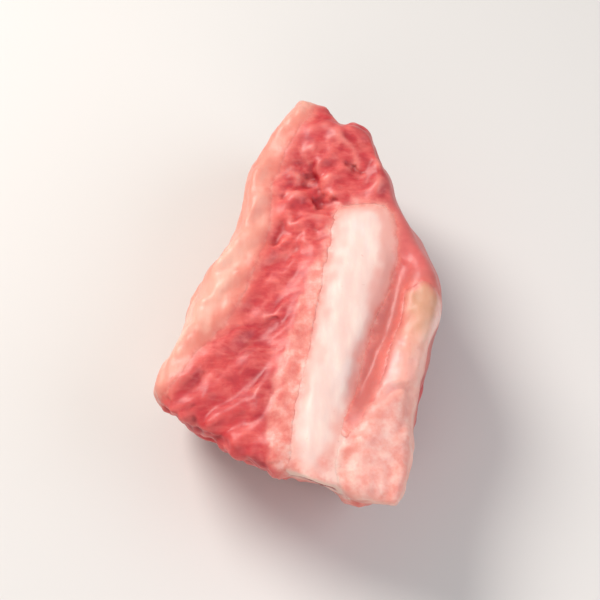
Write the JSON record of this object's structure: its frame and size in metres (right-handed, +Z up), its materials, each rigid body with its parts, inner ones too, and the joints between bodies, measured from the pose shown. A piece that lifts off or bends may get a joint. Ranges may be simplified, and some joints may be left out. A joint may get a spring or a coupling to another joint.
{
  "type": "bone-in goat meat",
  "caption": "Chunk of raw goat meat chopped across a rib: red lean round an oval bone, a fat layer down one side and a pale lobe of fat beside the bone.",
  "frame": {"origin": "middle of the underside: the centre of the bounding box, on the table", "axes": "+Z up from the flat underside to the side that shows the bone; +Y from the front cut to the narrow back end, along the rib; +X to the right, towards the pale lobe of fat"},
  "size_m": [0.0394, 0.0644, 0.0268],
  "materials": {
    "lean_meat": "wet raw muscle, coarse-grained, soft gloss",
    "rib_bone": "smooth wet bone, ivory",
    "outer_fat": "waxy cream fat, soft gloss",
    "inner_fat": "pale pink fat under a thin wet membrane"
  },
  "bodies": {
    "root": {"lean_meat": "lean_meat", "rib_bone": "rib_bone", "outer_fat": "outer_fat", "inner_fat": "inner_fat"}
  },
  "joints": []
}
